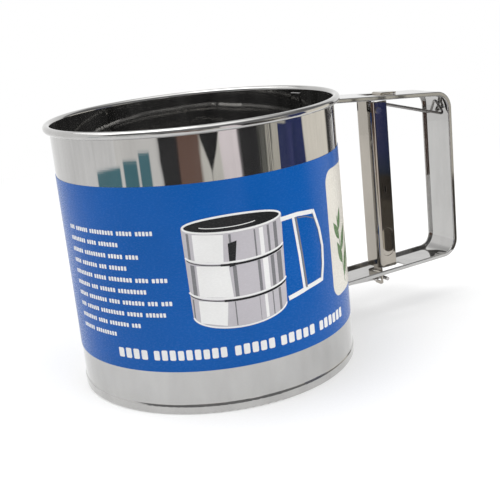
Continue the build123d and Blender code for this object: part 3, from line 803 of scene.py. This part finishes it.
# All heights here are the sine of the angle above the horizon
STREAK_LINES = (26.0, 26.0, 2.5)
STREAK_SHARE = 0.10
STREAK_TONE = (0.12, 0.11, 0.10)
STAND = (-65.0, -52.0)           # a stand of thin upright bars
STAND_LINES = (75.0, 75.0, 3.5)
STAND_SHARE = 0.8
STAND_TONE = (0.03, 0.03, 0.028)
WEDGE_AT = -104.0                # a dark wedge, its point down
WEDGE_LOW, WEDGE_HIGH = -0.19, -0.135
WEDGE_HALF = 8.5                 # degrees, at its top
WEDGE_TONE = (0.02, 0.02, 0.021)
WINDOWS = (                      # two sides and the top of each pane, in degrees
    (-200, -177, -9.9),
    (-174, -162, -9.5),
    (-160, -151, -9.0),
)
WINDOW_SOFT = 0.0008
TEAL = (0.10, 0.25, 0.30)
FOOT = (-70.0, -44.0)            # a dull place low down
FOOT_LOW, FOOT_HIGH = -0.215, -0.205
FOOT_TONE = (0.075, 0.066, 0.055)
SWEEP = (24.0, 172.0)            # the white sweep behind the object
SWEEP_LOW, SWEEP_HIGH = 0.55, 0.8    # it ends between these heights
SWEEP_TONE = (0.97, 0.97, 0.97)
ROOM_LOW, ROOM_HIGH = 0.06, 0.16     # the bands give way to the ceiling between these heights
CEILING = (                      # height, and the brightness there
    (0.0, (0.60, 0.60, 0.60)),
    (0.35, (0.16, 0.16, 0.165)),
    (0.70, (0.22, 0.22, 0.225)),
    (0.86, (0.9, 0.9, 0.9)),
    (0.93, (1.8, 1.8, 1.8)),
    (1.0, (1.9, 1.9, 1.9)),
)


def room_bands(n, way, leaning):
    """The bands round the horizon, with faint streaks and a stand of thin bars over them."""
    stops = [(0.0, ROOM[0][1])]
    for (start, colour), (_, before) in zip(ROOM[1:], ROOM):
        here = (start + 180) / 360
        stops += [(here - BAND_SOFT, before), (here + BAND_SOFT, colour)]
    seen = n.ramp(n.remap(leaning, -180.0, 180.0, 0.0, 1.0), stops)
    streaks = n.noise(n.stretch(way, STREAK_LINES), 1.0, detail=3.0, rough=0.6)
    bars = n.noise(n.stretch(way, STAND_LINES), 1.0, detail=1.0)
    stand = n.math("MULTIPLY", between(n, leaning, *STAND, soft=0.5), n.remap(bars, 0.54, 0.57, 0.0, 1.0))
    seen = n.mix(n.math("MULTIPLY", stand, STAND_SHARE), seen, (*STAND_TONE, 1))
    return n.mix(n.remap(streaks, 0.45, 0.75, 0.0, STREAK_SHARE), seen, (*STREAK_TONE, 1))


def room_shapes(n, seen, degrees, waver, height):
    """The wedge, the windows and the dull place low down, laid over the bands."""
    aside = n.math("ABSOLUTE", n.math("ADD", n.math("ADD", degrees, waver), -WEDGE_AT))
    aside = n.math("SUBTRACT", aside, n.remap(height, WEDGE_LOW, WEDGE_HIGH, 0.0, WEDGE_HALF))
    seen = n.mix(n.remap(aside, -0.5, 0.5, 1.0, 0.0), seen, (*WEDGE_TONE, 1))
    turned = n.math("WRAP", degrees, 90.0)           # from -270 to 90, so that no window is cut
    turned.node.inputs[2].default_value = -270.0
    for low, high, top in WINDOWS:
        head = math.sin(math.radians(top))
        below = n.remap(height, head - WINDOW_SOFT, head + WINDOW_SOFT, 1.0, 0.0)
        pane = n.math("MULTIPLY", between(n, turned, low, high, soft=0.6), below)
        seen = n.mix(pane, seen, (*TEAL, 1))
    low_down = n.remap(height, FOOT_LOW, FOOT_HIGH, 1.0, 0.0)
    foot = n.math("MULTIPLY", between(n, degrees, *FOOT, soft=1.0), low_down)
    return n.mix(foot, seen, (*FOOT_TONE, 1))


def ceiling(n, degrees, height):
    """What is above the bands: dark, with a bright ceiling, and the white sweep behind."""
    upper = n.ramp(n.remap(height, 0.0, 1.0, 0.0, 1.0), CEILING)
    sweep = between(n, degrees, *SWEEP, soft=4.0)
    sweep = n.math("MULTIPLY", sweep, n.remap(height, SWEEP_LOW, SWEEP_HIGH, 1.0, 0.0))
    return n.mix(sweep, upper, (*SWEEP_TONE, 1))


def room():
    """White to the camera; to the object a white sweep behind and a room with soft dark shapes."""
    world = bpy.data.worlds.new("studio")
    bpy.context.scene.world = world
    world.use_nodes = True
    n = Nodes(world.node_tree)
    way = n.add("ShaderNodeTexCoord").outputs["Generated"]
    part = n.add("ShaderNodeSeparateXYZ", {0: way}).outputs
    height = part[2]
    around = n.math("ARCTAN2", part[1], part[0])
    degrees = n.remap(around, -math.pi, math.pi, -180.0, 180.0)
    wander = n.noise(n.stretch(way, WAVER), 1.0, detail=2.0)
    waver = n.remap(wander, 0.3, 0.7, -EDGE_WAVER, EDGE_WAVER)
    lean = n.math("ADD", n.math("MULTIPLY", height, BAND_LEAN), BAND_TURN)
    leaning = n.math("ADD", n.math("ADD", degrees, waver), lean)
    seen = room_bands(n, way, leaning)
    seen = room_shapes(n, seen, degrees, waver, height)
    upper = ceiling(n, degrees, height)
    seen = n.mix(n.remap(height, ROOM_LOW, ROOM_HIGH, 0.0, 1.0), seen, upper)
    lit = n.add("ShaderNodeBackground", {"Color": seen, "Strength": 1.0})
    plain = n.add("ShaderNodeBackground", {"Color": (1, 1, 1, 1), "Strength": 1.0})
    camera_ray = n.add("ShaderNodeLightPath").outputs["Is Camera Ray"]
    both = n.add("ShaderNodeMixShader", {0: camera_ray, 1: lit.outputs[0], 2: plain.outputs[0]})
    n.add("ShaderNodeOutputWorld", {"Surface": both.outputs[0]})


CARD_ENDS = ((0.205, -0.277), (0.262, -0.201))    # x and y
CARD_HEIGHT = 0.077
CARD_STREAKS = (30.0, 30.0, 4.0)
CARD_BLUES = ((0.016, 0.030, 0.12, 1), (0.045, 0.055, 0.19, 1))
CARD_NAVY = (0.014, 0.030, 0.072, 1)
CARD_BROWN = (0.028, 0.022, 0.018, 1)
BROWN_TOP = (0.018, 0.022)       # heights between which brown turns to navy, and then navy to blue
NAVY_TOP = (0.022, 0.04)


def blue_card():
    """A blue card with a dark brown foot, which only the steel sees."""
    material, n = new_material("card")
    place = n.add("ShaderNodeTexCoord").outputs["Object"]
    part = n.add("ShaderNodeSeparateXYZ", {0: place}).outputs
    streak = n.noise(n.stretch(place, CARD_STREAKS), 1.0)
    blue = n.mix(n.remap(streak, 0.35, 0.65, 0, 1), *CARD_BLUES)
    blue = n.mix(n.remap(part[2], *NAVY_TOP, 0.0, 1.0), CARD_NAVY, blue)
    colour = n.mix(n.remap(part[2], *BROWN_TOP, 0.0, 1.0), CARD_BROWN, blue)
    glow = n.add("ShaderNodeEmission", {"Color": colour, "Strength": 1.0})
    n.add("ShaderNodeOutputMaterial", {"Surface": glow.outputs[0]})
    bm = bmesh.new()
    left, right = [Vector((*end, 0.0)) for end in CARD_ENDS]
    up = Vector((0, 0, CARD_HEIGHT))
    bm.faces.new([bm.verts.new(p) for p in (left, right, right + up, left + up)])
    card = to_object("blue_card", bm, material, body=None)
    card.visible_camera = False
    card.visible_diffuse = False
    card.visible_shadow = False


LIT_SPOT = Vector((0.03, 0.0, 0.05))     # what the lights point at


def soft_light(name, place, size, power, mirrored=True):
    """A square softbox turned to the object, which the steel may or may not mirror."""
    data = bpy.data.lights.new(name, "AREA")
    data.shape = "SQUARE"
    data.size = size
    data.energy = power
    light = bpy.data.objects.new(name, data)
    bpy.context.scene.collection.objects.link(light)
    light.location = place
    light.visible_glossy = mirrored
    light.rotation_euler = (LIT_SPOT - Vector(place)).to_track_quat("-Z", "Y").to_euler()


CAMERA_AT = Vector((-0.1826, -0.4017, 0.1743))
CAMERA_AIM = Vector((0.0237, 0.0027, 0.0485))
CAMERA_ROLL = -6.0               # degrees
CAMERA_LENS = 69.0


def camera():
    """The main view, turned to the sifter, with a roll that shares out its lean."""
    data = bpy.data.cameras.new("camera")
    data.sensor_width = 36.0
    data.lens = CAMERA_LENS
    data.clip_start, data.clip_end = 0.01, 50.0
    cam = bpy.data.objects.new("camera", data)
    bpy.context.scene.collection.objects.link(cam)
    turn = (CAMERA_AIM - CAMERA_AT).to_track_quat("-Z", "Y").to_matrix().to_4x4()
    roll = Matrix.Rotation(math.radians(CAMERA_ROLL), 4, "Z")
    cam.matrix_world = Matrix.Translation(CAMERA_AT) @ turn @ roll
    bpy.context.scene.camera = cam


floor()
room()
blue_card()
soft_light("key", (-0.35, 0.25, 1.0), size=0.9, power=5.0)
soft_light("fill", (0.35, -0.75, 0.7), size=0.8, power=5.5, mirrored=False)
camera()
bpy.context.scene.view_settings.view_transform = "Standard"
